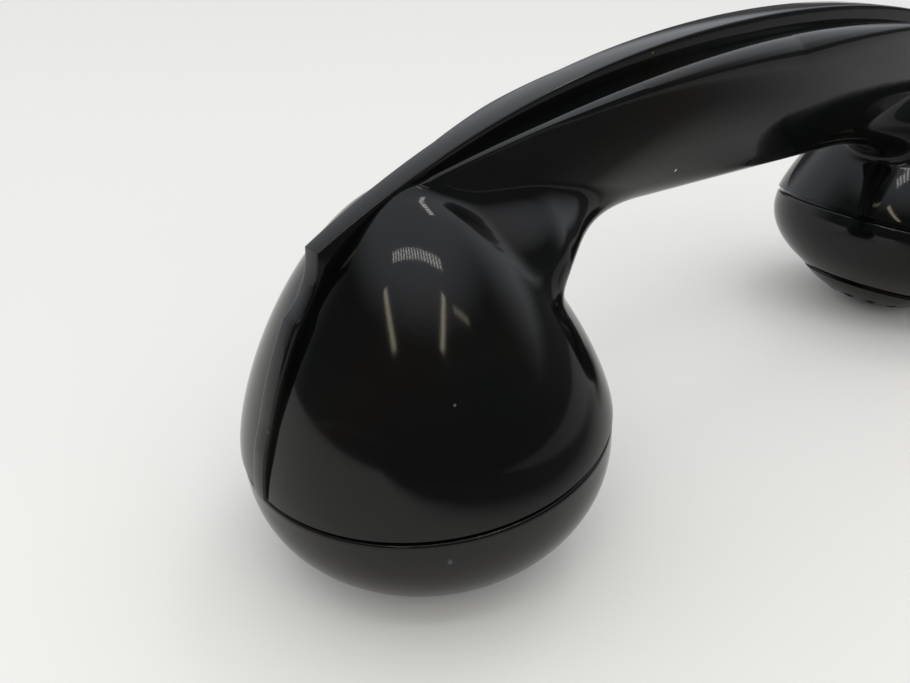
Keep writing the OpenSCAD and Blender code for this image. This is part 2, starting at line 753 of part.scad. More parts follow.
module block(places)
    difference() {
        translate([0, 0, block_z]) cylinder(d = block_d, h = block_t);
        screw_places() translate([0, 0, block_z - 1]) cylinder(r = screw_r + screw_gap, h = block_t + 2);
        for (place = places)
            translate([place.x, place.y, block_z - 1])
                cylinder(r = terminal_r + screw_gap, h = block_t + 2);
        if (len(places) > len(spring_terminals))
            clamp_places() translate([0, 0, block_z - 1])
                cylinder(r = clamp_screw_r + screw_gap, h = block_t + 2);
    }

module block_screws()
    screw_places() {
        translate([0, 0, block_z - head_h]) cylinder(r = 2.2, h = head_h);
        translate([0, 0, block_z - epsilon]) cylinder(r = screw_r, h = block_t + boss_h - 4);
    }

module terminal_plates()
    for (terminal = spring_terminals)
        translate([terminal[0].x, terminal[0].y, plate_low])
            difference() {
                translate([terminal[1] < 0 ? plate_edge - plate_len : -plate_edge, -plate_w / 2, 0])
                    cube([plate_len, plate_w, plate_h]);
                translate([0, 0, -1]) cylinder(r = terminal_r + screw_gap, h = plate_h + 2);
            }

// A screw whose head is under the block, and its nut on top
module stud(place, head_z) translate([place.x, place.y, 0]) {
    translate([0, 0, head_z - head_h]) cylinder(r = terminal_head_r, h = head_h);
    translate([0, 0, head_z - epsilon]) cylinder(r = terminal_r, h = stud_top - head_z);
    tube(nut_r, terminal_r + screw_gap, block_top, block_top + nut_h);
}

// A strip that lies under its plate at the root and slopes down to a flat tip
module contact_spring(terminal, reach_x, tip_z) {
    root_x = terminal[0].x + terminal[1] * (plate_edge + 0.1);
    dir = terminal[1];
    slope_start = root_x + dir * root_len;
    tip_x = terminal[0].x + dir * reach_x;
    translate([0, terminal[0].y + spring_w / 2, 0])
        rotate([90, 0, 0])
            linear_extrude(spring_w)
                polygon([
                    [root_x, plate_low], [root_x, plate_low - spring_t],
                    [slope_start, plate_low - spring_t], [tip_x - dir * tip_len, tip_z],
                    [tip_x, tip_z + tip_gap], [tip_x, tip_z + tip_gap + spring_t],
                    [tip_x - dir * tip_len, tip_z + spring_t], [slope_start, plate_low]
                ]);
}

centre_reach = -centre_terminal[0].x + 3;
case_reach = case_terminal[0].x + 6;
receiver_button_z = receiver_top + insulator_t + button_t;
transmitter_button_z = transmitter_top + insulator_t + button_t;

function terminal_points(terminals) = [for (terminal = terminals) terminal[0]];
receiver_points = terminal_points(spring_terminals);
transmitter_points = concat(terminal_points(spring_terminals), line_terminals);

module receiver_block() color("#5a3a24") at_cup(receiver) block(receiver_points);
module receiver_block_screws() color("#9a9da0") at_cup(receiver) block_screws();
module receiver_terminal_plates() color("#c9a24a") at_cup(receiver) terminal_plates();
module receiver_terminal_screws() color("#c9a24a") at_cup(receiver)
    for (place = receiver_points) stud(place, plate_low);
module receiver_centre_spring() color("#d0ab55") at_cup(receiver)
    contact_spring(centre_terminal, centre_reach, receiver_button_z + tip_gap);
module receiver_case_spring() color("#d0ab55") at_cup(receiver)
    contact_spring(case_terminal, case_reach, receiver_top + tip_gap);

module transmitter_block() color("#5a3a24") at_cup(transmitter) block(transmitter_points);
module transmitter_block_screws() color("#9a9da0") at_cup(transmitter) block_screws();
module transmitter_terminal_plates() color("#c9a24a") at_cup(transmitter) terminal_plates();
module transmitter_terminal_screws() color("#c9a24a") at_cup(transmitter) {
    for (terminal = spring_terminals) stud(terminal[0], plate_low);
    for (place = line_terminals) stud(place, block_z);
}
module transmitter_centre_spring() color("#d0ab55") at_cup(transmitter)
    contact_spring(centre_terminal, centre_reach, transmitter_button_z + tip_gap);
module transmitter_case_spring() color("#d0ab55") at_cup(transmitter)
    contact_spring(case_terminal, case_reach, transmitter_top + tip_gap);

// ---------- Wires through the handle ----------
wire_sides = 8;
wire_lift = 4;
wire_gap = 1.3;
wire_side = 2;
wire_spread = 1.8;
wire_dip = 3.5;
wire_run = 5;

function wire_end(side, place) =
    let (foot = [place.x + (place.x < 0 ? wire_side : -wire_side), place.y])
    [from_cup(side, [foot.x, foot.y, tag_low + tag_h / 2]),
     from_cup(side, [foot.x, foot.y, tag_low + wire_lift]),
     from_cup(side, [foot.x, foot.y * 0.8, tag_low + wire_lift + 2])];
function wire_mouth(side, y) =
    [[side * channel_x(side), wire_spread * y, channel_z - wire_dip],
     [side * (channel_x(side) - wire_run), y, channel_z]];
function wire_route(start, finish, y) =
    concat(wire_end(receiver, start), wire_mouth(receiver, y),
           reversed(wire_mouth(transmitter, y)), reversed(wire_end(transmitter, finish)));

function along(route, i) =
    let (step = route[min(i + 1, len(route) - 1)] - route[max(i - 1, 0)]) step / norm(step);
function wire_ring(route, i) =
    let (
        t = along(route, i),
        a = cross(t, [0, 1, 0]) / norm(cross(t, [0, 1, 0])),
        b = cross(t, a)
    )
    [for (k = [0 : wire_sides - 1]) let (turn = 360 / wire_sides * k)
        route[i] + wire_d / 2 * (cos(turn) * a + sin(turn) * b)];

module wire(route) skin([for (i = [0 : len(route) - 1]) wire_ring(route, i)]);
module wire_tag(side, place)
    at_cup(side) translate([place.x, place.y, 0])
        tube(nut_r, terminal_r + screw_gap, tag_low, tag_low + tag_h);

module handle_wires() color("#9c8f63")
    for (i = [0, 1]) {
        in_handset()
            wire(wire_route(receiver_points[i], line_terminals[i], i == 0 ? -wire_gap : wire_gap));
        wire_tag(receiver, receiver_points[i]);
        wire_tag(transmitter, line_terminals[i]);
    }

// ---------- Cord inlet ----------
saddle_r = bush_bore_d / 2 - 0.2;
saddle_t = 1;
saddle_w = 5;
saddle_foot = 8.2;

module cord_bush() color("#1f1f21") at_cup(transmitter)
    difference() {
        union() {
            along_x(bush_in, 0, bush_z) cylinder(r = bush_r, h = bush_out - bush_in);
            along_x(bush_seat, 0, bush_z) cylinder(r = bush_flange_r, h = bush_out - bush_seat);
        }
        along_x(bush_in - 1, 0, bush_z) cylinder(d = bush_bore_d, h = bush_out);
    }

// A strap that arches over the cord and is screwed down at both feet
module cord_clamp() color("#9a9da0") at_cup(transmitter)
    difference() {
        union() {
            intersection() {
                along_x(clamp_x - saddle_w / 2, 0, block_top)
                    difference() {
                        cylinder(r = saddle_r + saddle_t, h = saddle_w);
                        translate([0, 0, -1]) cylinder(r = saddle_r, h = saddle_w + 2);
                    }
                translate([clamp_x - saddle_w, -cup_r, block_top]) cube([2 * saddle_w, cup_d, cup_r]);
            }
            for (end = [0, 1]) mirror([0, end, 0])
                translate([clamp_x - saddle_w / 2, saddle_r + saddle_t / 2, block_top])
                    cube([saddle_w, saddle_foot - saddle_r - saddle_t / 2, saddle_t]);
        }
        clamp_places() translate([0, 0, block_z]) cylinder(r = clamp_screw_r + screw_gap, h = cup_r);
    }

module cord_clamp_screws() color("#9a9da0") at_cup(transmitter)
    clamp_places() {
        translate([0, 0, block_top + saddle_t]) cylinder(r = 1.8, h = head_h);
        translate([0, 0, block_z + 0.3]) cylinder(r = clamp_screw_r, h = block_t + saddle_t - 0.3 + epsilon);
    }

handset_body();
receiver_cap();
transmitter_cap();
receiver_case();
receiver_grille();
receiver_clamp_ring();
receiver_diaphragm();
receiver_pole_pieces();
receiver_magnet();
receiver_bobbins();
receiver_coils();
receiver_insulator();
receiver_contact();
receiver_felt_ring();
transmitter_case();
transmitter_grille();
transmitter_membrane();
transmitter_clamp_ring();
transmitter_diaphragm();
transmitter_front_electrode();
transmitter_chamber();
transmitter_granules();
transmitter_back_electrode();
transmitter_insulator();
transmitter_contact();
transmitter_felt_ring();
receiver_block();
receiver_block_screws();
receiver_centre_spring();
receiver_case_spring();
receiver_terminal_plates();
receiver_terminal_screws();
transmitter_block();
transmitter_block_screws();
transmitter_centre_spring();
transmitter_case_spring();
transmitter_terminal_plates();
transmitter_terminal_screws();
handle_wires();
cord_bush();
cord_clamp();
cord_clamp_screws();
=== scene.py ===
"""A moulded telephone handset: its looks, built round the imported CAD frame."""
import math

import bmesh
import bpy
import numpy as np
from mathutils import Matrix, Vector


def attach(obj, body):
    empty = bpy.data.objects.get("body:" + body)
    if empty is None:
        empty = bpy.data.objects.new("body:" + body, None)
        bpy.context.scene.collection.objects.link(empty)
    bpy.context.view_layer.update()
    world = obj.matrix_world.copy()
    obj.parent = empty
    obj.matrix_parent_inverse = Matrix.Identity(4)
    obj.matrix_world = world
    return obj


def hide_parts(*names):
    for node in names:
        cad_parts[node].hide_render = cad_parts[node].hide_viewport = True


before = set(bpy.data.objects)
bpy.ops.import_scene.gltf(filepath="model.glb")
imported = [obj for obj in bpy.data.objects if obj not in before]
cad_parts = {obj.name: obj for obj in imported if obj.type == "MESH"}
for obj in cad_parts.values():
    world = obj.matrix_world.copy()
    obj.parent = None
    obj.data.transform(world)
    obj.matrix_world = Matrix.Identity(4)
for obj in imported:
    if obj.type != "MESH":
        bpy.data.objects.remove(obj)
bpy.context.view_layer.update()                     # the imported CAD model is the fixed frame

# ---------------------------------------------------------------- sizes, in millimetres, as in the CAD
MM = 0.001
RECEIVER, TRANSMITTER = -1, 1
CUP_R, CUP_X = 32.0, 80.5
LEAN = {RECEIVER: math.radians(6.3), TRANSMITTER: math.radians(13.9)}
DOME_H, DOME_SWELL, DOME_ROUND = 41.7, 1.3, 0.62
BACK_H, BACK_RISE, BACK_FALL, BACK_SKEW, BACK_CURL = 58.7, 1.7, 9.9, 0.9, 2.0
BACK_TURN, BACK_TURN_AT = 47.0, 0.9
GRIP_Z, GRIP_FALL = 26.9, 2.0
SHOULDER_Y, SHOULDER_DROP, SHOULDER_DRAW, SHOULDER_POWER = 12.0, 2.8, 7.9, 2.6
SHOULDER_RISE, SHOULDER_SLOPE = 1.4, 0.1
SHOULDER_EDGE, SHOULDER_SOFT, SHOULDER_SOFT_FALL = 0.8, 5.5, 1.3
CREASE_Y, CREASE_DROP, CREASE_DRAW, CREASE_ROUND = 8.6, 22.0, 3.1, 5.0
UNDER_Y = 3.4
BLEND_TOP, NECK_BLEND = 1.5, 23.0
NECK_LOW, NECK_FULL, NECK_HIGH, NECK_REACH = 13.0, 30.0, 44.0, 19.0
RIDGE_W, RIDGE_END_W, RIDGE_NARROW = 6.8, 3.7, 0.2
RIDGE_REACH, RIDGE_PROUD, RIDGE_BEVEL = 16.1, 1.1, 0.35
RIDGE_RIM_PROUD, RIDGE_RISE_H, RIDGE_LIFT, RIDGE_LIFT_FROM = 0.4, 8.0, 0.1, 12.0
RIDGE_JOIN_H, RIDGE_CORNER_H, RIDGE_ROOT, RIDGE_DEPTH = 27.0, 36.3, 3.0, 7.0
RIDGE_CURVE, RIDGE_FOCUS_OUT, RIDGE_FOCUS_Z = 0.35, 6.0, 22.0
CAP_DEPTH, CAP_FACE_R, CAP_BELLY, CAP_POWER, CAP_BEND = 24.0, 17.3, 3.0, 2.5, 0.7
DISH_DEPTH, DISH_LIP, CAP_WALL, SOUND_HOLE_R = 3.6, 1.2, 3.0, 1.4
MOUTH_ROUND, MOUTH_R, SKIRT_SPAN, SKIRT_END = 31.0, 18.6, 19.4, 17.1
MOUTH_FLOOR_R, GROOVE_W, GROOVE_DEEP = 13.5, 0.7, 0.6
NECK_LEN, NECK_R, NECK_CHAMFER = 9.0, 25.8, 0.4
SKIRT_R, INNER_R, LEDGE_D, INNER_SLOPE_R, INNER_SLOPE_H = 26.1, 22.1, 11.4, 5.0, 3.5
SEAM_GAP, SEAM_WIDE, SEAM_DEEP, CAP_EDGE, CUP_EDGE = 0.3, 0.95, 1.6, 0.6, 0.35
CHAMBER_R, CHAMBER_TOP, BLOCK_R, BLOCK_TOP = 22.9, 6.0, 21.8, 12.0
CUP_WALL, BLOCK_SEAT, BLOCK_GAP = 4.5, 2.5, 0.3
HOLLOW_TOP = DOME_H - CUP_WALL - 3.0
BUSH_Z, BUSH_R, BUSH_FLANGE_R, BUSH_IN = 17.2, 4.25, 5.15, 17.0
BUSH_PROUD, BUSH_SEAT_DEEP, BUSH_FACET = 0.3, 0.15, 0.05
CHANNEL_R, CHANNEL_Z, CHANNEL_END = 3.0, 33.0, 9.0
BOSS_R, BOSS_Y, BOSS_H, BOSS_HOLE_R, BOSS_FOOT, BOSS_BLIND = 3.0, 15.0, 14.0, 1.25, 0.2, 2.0
CUT_PAST = 8.0
SEAM_Z = CAP_FACE_R * math.sin(LEAN[RECEIVER]) + CAP_DEPTH * math.cos(LEAN[RECEIVER])
TINY = 0.001


# ---------------------------------------------------------------- frames of the handset and of its cups
def cup_matrix(side):
    """A cup's own frame as a 4x4 in millimetres: X leads away from the handle and Z into the dome."""
    lean = Matrix.Rotation(side * LEAN[side], 4, "Y")
    mirror = Matrix.Scale(-1, 4, Vector((1, 0, 0))) if side == RECEIVER else Matrix.Identity(4)
    return Matrix.Translation((side * CUP_X, 0, 0)) @ lean @ mirror


def from_cup(side, points):
    """Points of a cup's frame in the handset's frame, whose origin is midway between the two rims."""
    m = np.array(cup_matrix(side))
    return np.asarray(points, float) @ m[:3, :3].T + m[:3, 3]


# ---------------------------------------------------------------- the moulded form
def dome_r(h):
    return CUP_R * (1 - (np.clip(h, 0, DOME_H - TINY) / DOME_H) ** DOME_SWELL) ** DOME_ROUND


def dome_slope(h):
    t = np.clip(h, TINY * 10, DOME_H - TINY) / DOME_H
    rise = DOME_SWELL * t ** (DOME_SWELL - 1) * (1 - t ** DOME_SWELL) ** (DOME_ROUND - 1)
    return -CUP_R * DOME_ROUND * rise / DOME_H


def smooth_max(a, b, k):
    return np.maximum(a, b) + np.maximum(k - abs(a - b), 0) ** 2 / (4 * k)


def smooth_min(a, b, k):
    return -smooth_max(-a, -b, k)


def share(value):
    return np.clip(value, 0, 1)


def eased(value):
    t = share(value)
    return t * t * (3 - 2 * t)


def back_z(x):
    u = x / CUP_X
    return (BACK_H + BACK_RISE * u - BACK_FALL * u ** 2 + BACK_SKEW * u ** 3 - BACK_CURL * u ** 4
            - BACK_TURN * np.maximum(u - BACK_TURN_AT, 0) ** 2)


def shoulder_at(x):
    u = abs(x) / CUP_X
    return (np.maximum(SHOULDER_Y - SHOULDER_DRAW * u ** SHOULDER_POWER, RIDGE_END_W / 2 - RIDGE_BEVEL),
            back_z(x) - SHOULDER_DROP + SHOULDER_RISE * u ** 3)


def dome_gap(p):
    """Distance from the dome of the nearer cup."""
    x, y, z = p.T
    side = np.where(x < 0, RECEIVER, TRANSMITTER)
    lean = np.where(x < 0, LEAN[RECEIVER], LEAN[TRANSMITTER])
    dx = side * x - CUP_X
    h = z * np.cos(lean) + dx * np.sin(lean)
    out = np.hypot(dx * np.cos(lean) - z * np.sin(lean), y)
    top = DOME_H - TINY * 10
    hd = np.clip(h, 0, top)
    return np.where(h > hd, np.hypot(out, h - hd), (out - dome_r(hd)) / np.hypot(1, dome_slope(hd)))


def side_gap(y, z, a, b):
    """Signed distance from a straight side that runs through a and b, seen in a cross-section."""
    dy, dz = b[0] - a[0], b[1] - a[1]
    return (dy * (z - a[1]) - dz * (y - a[0])) / np.hypot(dy, dz)


def handle_gap(p):
    """Distance from the handle's cross-section: shoulder, flank, crease and flat underside."""
    x, y, z = p.T
    u, y = abs(x) / CUP_X, abs(y)
    shoulder = shoulder_at(x)
    crease = (CREASE_Y - CREASE_DRAW * u ** 2, back_z(x) - CREASE_DROP)
    under = (UNDER_Y, GRIP_Z - GRIP_FALL * x / CUP_X)
    edge_r = SHOULDER_EDGE + SHOULDER_SOFT * np.maximum(1 - u * SHOULDER_SOFT_FALL, 0)
    flank = smooth_max(side_gap(y, z, shoulder, crease), side_gap(y, z, crease, under), CREASE_ROUND)
    lower = smooth_max(flank, under[1] - z, CREASE_ROUND)
    return smooth_max(lower, z - shoulder[1] + SHOULDER_SLOPE * (shoulder[0] - y), edge_r)


def body_gap(p):
    """Distance from the blended form: wide where dome and handle meet at the neck, tight elsewhere."""
    upward = (eased((p[:, 2] - NECK_LOW) / (NECK_FULL - NECK_LOW))
              * eased((NECK_HIGH - p[:, 2]) / (NECK_HIGH - NECK_FULL)))
    inward = eased((CUP_X - abs(p[:, 0])) / NECK_REACH)
    return smooth_min(dome_gap(p), handle_gap(p), BLEND_TOP + NECK_BLEND * upward * inward)


# Rings fan out about a line under the handle, from the cup's rim to upright, and then run along the grip.
FAN_STEPS, GRIP_STEPS, TOP_STEPS, SIDE_STEPS, HOLLOW_STEPS = 90, 40, 10, 78, 12
FAN_R = 1.5 * CUP_R
FAN_OUT, FAN_FAR = CUP_X - FAN_R, 1.3 * CUP_X
CENTRE_IN, TURN_FROM, TURN_OVER = 11, 10, 50
MIDDLE_Z, REACH, HALVINGS = 45.0, 42.0, 24


def ring_plane(side, i):
    """The centre, outward direction, angle and fan point of ring i, from the cup's rim to mid-length."""
    lean = LEAN[side]
    angle = -lean + (math.pi / 2 + lean) * min(i / FAN_STEPS, 1)
    out = np.array([side * math.cos(angle), 0, math.sin(angle)])
    inward = float(share((i - FAN_STEPS) / GRIP_STEPS))
    turn = float(share((math.degrees(angle) - TURN_FROM) / TURN_OVER))
    fan = np.array([side * FAN_OUT * (1 - inward), 0, FAN_R * math.tan(lean)])
    centre = fan + (FAN_R - CENTRE_IN * turn) * out
    centre[2] += (MIDDLE_Z - centre[2]) * inward
    return centre, out, angle, fan


def shoulder_turn(side, i):
    """The turn at which ring i meets the shoulder's edge."""
    centre, out, angle, fan = ring_plane(side, i)
    x = fan[0]
    if i < FAN_STEPS:
        low, high = FAN_OUT, FAN_FAR
        for _ in range(HALVINGS):
            mid = (low + high) / 2
            rise = float(shoulder_at(side * mid)[1]) - fan[2]
            if rise * math.cos(angle) > (mid - FAN_OUT) * math.sin(angle):
                low = mid
            else:
                high = mid
        x = side * low
    y, z = (float(v) for v in shoulder_at(x))
    return math.atan2(y, float(np.dot(np.array([x, 0, z]) - centre, out)))


def form_ring(side, i):
    """Ring i on the blended form, found along rays from its centre by halving, and mirrored in Y."""
    centre, out, _, _ = ring_plane(side, i)
    edge = shoulder_turn(side, i)
    turns = np.concatenate([np.linspace(0, edge, TOP_STEPS, endpoint=False),
                            np.linspace(edge, math.pi, SIDE_STEPS)])
    rays = np.cos(turns)[:, None] * out + np.sin(turns)[:, None] * np.array([0, -1.0, 0])
    near, far = np.zeros(len(turns)), np.full(len(turns), REACH)
    for _ in range(HALVINGS):
        mid = (near + far) / 2
        outside = body_gap(centre + mid[:, None] * rays) > 0
        near, far = np.where(outside, near, mid), np.where(outside, mid, far)
    half = centre + ((near + far) / 2)[:, None] * rays
    return np.vstack([half, (half * [1, -1, 1])[-2:0:-1]])


def hollow_profile():
    """The neck and the hollow above it, from the cup's rim to the top of the hollow, as (radius, height)."""
    heights = np.linspace(BLOCK_TOP, HOLLOW_TOP, HOLLOW_STEPS)
    room = np.minimum(BLOCK_R - BLOCK_SEAT - BLOCK_GAP, dome_r(heights) - CUP_WALL)
    return ([(CUP_R - CUP_EDGE, 0), (NECK_R + NECK_CHAMFER, 0), (NECK_R, -NECK_CHAMFER),
             (NECK_R, NECK_CHAMFER - NECK_LEN), (NECK_R - NECK_CHAMFER, -NECK_LEN),
             (CHAMBER_R, -NECK_LEN), (CHAMBER_R, CHAMBER_TOP), (BLOCK_R, CHAMBER_TOP), (BLOCK_R, BLOCK_TOP)]
            + list(zip(room, heights)) + [(TINY, HOLLOW_TOP)])


def cup_rings(side):
    """Rings of the neck and the hollow, from the cup's rim inwards, matched to the form's first ring."""
    seam = form_ring(side, 0)
    local = (seam - from_cup(side, [[0, 0, 0]])) @ np.array(cup_matrix(side))[:3, :3]
    turn = np.arctan2(local[:, 1], local[:, 0])
    return [from_cup(side, np.stack([r * np.cos(turn), r * np.sin(turn), np.full(len(turn), z)], -1))
            for r, z in hollow_profile()]


# ---------------------------------------------------------------- meshes
SHARP_ANGLE = 32.0


def mesh_object(name, vertices, faces):
    mesh = bpy.data.meshes.new(name)
    mesh.from_pydata([tuple(v) for v in vertices], [], faces)
    made = bmesh.new()
    made.from_mesh(mesh)
    bmesh.ops.remove_doubles(made, verts=made.verts, dist=TINY * MM)
    bmesh.ops.recalc_face_normals(made, faces=made.faces)
    made.to_mesh(mesh)
    made.free()
    piece = bpy.data.objects.new(name, mesh)
    bpy.context.scene.collection.objects.link(piece)
    smooth(piece)
    return piece


def smooth(piece):
    """Smooth shading, with sharp edges left crisp."""
    made = bmesh.new()
    made.from_mesh(piece.data)
    for face in made.faces:
        face.smooth = True
    for edge in made.edges:
        edge.smooth = len(edge.link_faces) < 2 or edge.calc_face_angle(0) < math.radians(SHARP_ANGLE)
    made.to_mesh(piece.data)
    made.free()


def tube_faces(count, size):
    """Faces that join each ring to the next."""
    faces = []
    for i in range(count - 1):
        for j in range(size):
            k = (j + 1) % size
            faces.append((i * size + j, i * size + k, (i + 1) * size + k, (i + 1) * size + j))
    return faces


def tube(name, rings, capped=True):
    """A closed skin over rings of points given in the handset's frame, in millimetres."""
    size = len(rings[0])
    faces = tube_faces(len(rings), size)
    if capped:
        last = (len(rings) - 1) * size
        faces += [tuple(range(size)), tuple(last + j for j in reversed(range(size)))]
    points = np.vstack(rings) + [centre_shift, 0, SEAM_Z]
    return mesh_object(name, points * MM, faces)


def cut(piece, tools, operation="DIFFERENCE"):
    """Takes closed tools away from a piece, or joins them to it, and deletes the tools."""
    for tool in tools:
        modifier = piece.modifiers.new("cut", "BOOLEAN")
        modifier.operation, modifier.solver, modifier.object = operation, "EXACT", tool
        bpy.context.view_layer.update()
        worked = piece.evaluated_get(bpy.context.evaluated_depsgraph_get())
        shape = bpy.data.meshes.new_from_object(worked)
        piece.modifiers.clear()
        piece.data = shape
        bpy.data.objects.remove(tool)
    smooth(piece)
    return piece


def rod(name, start, end, radii, sides=48):
    """A turned pin between two points of the handset's frame; radii are (share of its length, radius)."""
    start, end = np.asarray(start, float), np.asarray(end, float)
    axis = (end - start) / np.linalg.norm(end - start)
    a = np.cross(axis, [0, 1, 0] if abs(axis[1]) < 0.9 else [1, 0, 0])
    a /= np.linalg.norm(a)
    b = np.cross(axis, a)
    turn = np.linspace(0, 2 * math.pi, sides, endpoint=False)
    circle = np.cos(turn)[:, None] * a + np.sin(turn)[:, None] * b
    return tube(name, [start + (end - start) * t + r * circle for t, r in radii])


def lathe(name, side, profile, sides=192):
    """A closed outline of (radius, height) turned about a cup's axis."""
    turn = np.linspace(0, 2 * math.pi, sides, endpoint=False)
    rings = [from_cup(side, np.stack([r * np.cos(turn), r * np.sin(turn), np.full(sides, z)], -1))
             for r, z in profile]
    return tube(name, rings + rings[:1], capped=False)


# ---------------------------------------------------------------- the ridge
RIDGE_CUP_STEPS, RIDGE_NOSE_STEPS, RIDGE_BACK_STEPS = 40, 13, 90
NOSE_SHARE = 0.25                     # share of the ridge's narrowing that is on its nose


def ridge_stand(h):
    """How far the ridge stands proud of the dome at a height above the rim."""
    return (RIDGE_RIM_PROUD + (RIDGE_PROUD - RIDGE_RIM_PROUD) * min(h / RIDGE_RISE_H, 1)
            + RIDGE_LIFT * max(h - RIDGE_LIFT_FROM, 0))


def ridge_low_w(part):
    """The ridge's width on the cup, which narrows towards the rim."""
    return RIDGE_END_W - RIDGE_NARROW * part


def cup_xz(side, out, h):
    """A point of a cup's middle plane as (x, z) in the handset's frame."""
    return from_cup(side, [[out, 0, h]])[0][[0, 2]]


def toward_focus(p, depth):
    """A point of the ridge's top moved down into the handle or cup."""
    side = RECEIVER if p[0] < 0 else TRANSMITTER
    focus = np.array([side * min(CUP_X + RIDGE_FOCUS_OUT, abs(p[0])), RIDGE_FOCUS_Z])
    return p + depth * (focus - p) / np.linalg.norm(focus - p)


def ridge_stations(side):
    """(outer point, inner point, half width) from the cup's rim up to mid-length."""
    stations = []
    for h in np.linspace(0, RIDGE_JOIN_H, RIDGE_CUP_STEPS):
        out = float(dome_r(h))
        stations.append((cup_xz(side, out + ridge_stand(h), h), cup_xz(side, out - RIDGE_ROOT, h),
                         ridge_low_w(1 - (1 - NOSE_SHARE) * h / RIDGE_JOIN_H) / 2))
    low = stations[-1][0]
    tip_x = float(cup_xz(side, RIDGE_REACH, RIDGE_CORNER_H)[0])
    tip = np.array([tip_x, float(back_z(tip_x))])
    bend = np.array([tip[0], low[1] + RIDGE_CURVE * (tip[1] - low[1])])
    shallow = RIDGE_ROOT + RIDGE_PROUD
    for t in np.linspace(0, 1, RIDGE_NOSE_STEPS)[1:]:
        p = (1 - t) ** 2 * low + 2 * t * (1 - t) * bend + t * t * tip
        stations.append((p, toward_focus(p, shallow + (RIDGE_DEPTH - shallow) * t),
                         ridge_low_w(NOSE_SHARE * (1 - t)) / 2))
    for t in np.linspace(1, 0, RIDGE_BACK_STEPS)[1:]:
        p = np.array([tip_x * t, float(back_z(tip_x * t))])
        stations.append((p, toward_focus(p, RIDGE_DEPTH), (RIDGE_W - (RIDGE_W - RIDGE_END_W) * t * t) / 2))
    return stations


def ridge_ring(station):
    """A flat-topped cross-section with rounded edges."""
    outer, inner, w = station
    into = (inner - outer) / np.linalg.norm(inner - outer)
    side = []
    for turn in np.radians([90, 60, 30, 0]):
        p = outer + RIDGE_BEVEL * (1 - math.sin(turn)) * into
        side.append((p[0], w - RIDGE_BEVEL * (1 - math.cos(turn)), p[1]))
    side.append((inner[0], w, inner[1]))
    return np.array(side + [(x, -y, z) for x, y, z in reversed(side)])


def handset_ends():
    """The lowest and highest X of the handset, down its ridge and at the cord bush."""
    bush_out = float(dome_r(BUSH_Z)) + RIDGE_PROUD + BUSH_PROUD
    bush = cup_xz(TRANSMITTER, bush_out, BUSH_Z + BUSH_FLANGE_R - BUSH_FACET)[0]
    return (min(s[0][0] for s in ridge_stations(RECEIVER)),
            max([bush] + [s[0][0] for s in ridge_stations(TRANSMITTER)]))


centre_shift = -sum(handset_ends()) / 2


def build_body():
    """The moulded body: one skin from cup to cup, the ridge, the ways through it and the screw bosses."""
    rings = cup_rings(RECEIVER)[::-1]
    rings += [form_ring(RECEIVER, i) for i in range(FAN_STEPS + GRIP_STEPS + 1)]
    rings += [form_ring(TRANSMITTER, i) for i in range(FAN_STEPS + GRIP_STEPS)][::-1]
    rings += cup_rings(TRANSMITTER)
    body = tube("moulded_body", rings)
    stations = ridge_stations(RECEIVER) + ridge_stations(TRANSMITTER)[-2::-1]
    cut(body, [tube("ridge", [ridge_ring(s) for s in stations])], "UNION")
    ends = [side * (CUP_X + CHANNEL_Z * math.tan(LEAN[side]) - CHANNEL_END)
            for side in (RECEIVER, TRANSMITTER)]
    wire_way = rod("wire_way", [ends[0], 0, CHANNEL_Z], [ends[1], 0, CHANNEL_Z],
                   [(0, CHANNEL_R), (1, CHANNEL_R)])
    seat = float(dome_r(BUSH_Z + BUSH_FLANGE_R)) - BUSH_SEAT_DEEP
    outside = from_cup(TRANSMITTER, [[CUP_R + CUT_PAST, 0, BUSH_Z]])[0]
    bush_way, bush_seat = (
        rod(name, from_cup(TRANSMITTER, [[start, 0, BUSH_Z]])[0], outside, [(0, radius), (1, radius)])
        for name, start, radius in (("bush_way", BUSH_IN, BUSH_R), ("bush_seat", seat, BUSH_FLANGE_R)))
    cut(body, [wire_way, bush_way, bush_seat])
    posts = []
    for side in (RECEIVER, TRANSMITTER):
        for y in (-BOSS_Y, BOSS_Y):
            low, high = (from_cup(side, [[0, y, z]])[0] for z in (BLOCK_TOP, BLOCK_TOP + BOSS_H))
            post = rod("post", low, high, [(0, BOSS_R - BOSS_FOOT), (0.02, BOSS_R), (1, BOSS_R)])
            deep = (BOSS_H - BOSS_BLIND) / BOSS_H
            hole = rod("hole", low + (low - high) * 0.05, low + (high - low) * deep,
                       [(0, BOSS_HOLE_R), (1, BOSS_HOLE_R)])
            posts.append(cut(post, [hole]))
    return cut(body, posts, "UNION")


# ---------------------------------------------------------------- caps
CAP_R = CUP_R - 0.1
EDGE_OUT, EDGE_IN = 0.45, 0.16        # places on the cap's rounded edge, as shares of its size
# Rings of sound holes, each as (holes, radius)
RECEIVER_HOLES, TRANSMITTER_HOLES = ((1, 0), (6, 6.5)), ((1, 0), (6, 5.5), (12, 11))


def cap_edge():
    """A fine groove below the cup's rim, and the rounded edge under it."""
    return [(CAP_R - SEAM_DEEP, -SEAM_GAP), (CAP_R - SEAM_DEEP, -SEAM_WIDE), (CAP_R - CAP_EDGE, -SEAM_WIDE),
            (CAP_R - CAP_EDGE * EDGE_OUT, -SEAM_WIDE - CAP_EDGE * EDGE_IN),
            (CAP_R - CAP_EDGE * EDGE_IN, -SEAM_WIDE - CAP_EDGE * EDGE_OUT)]


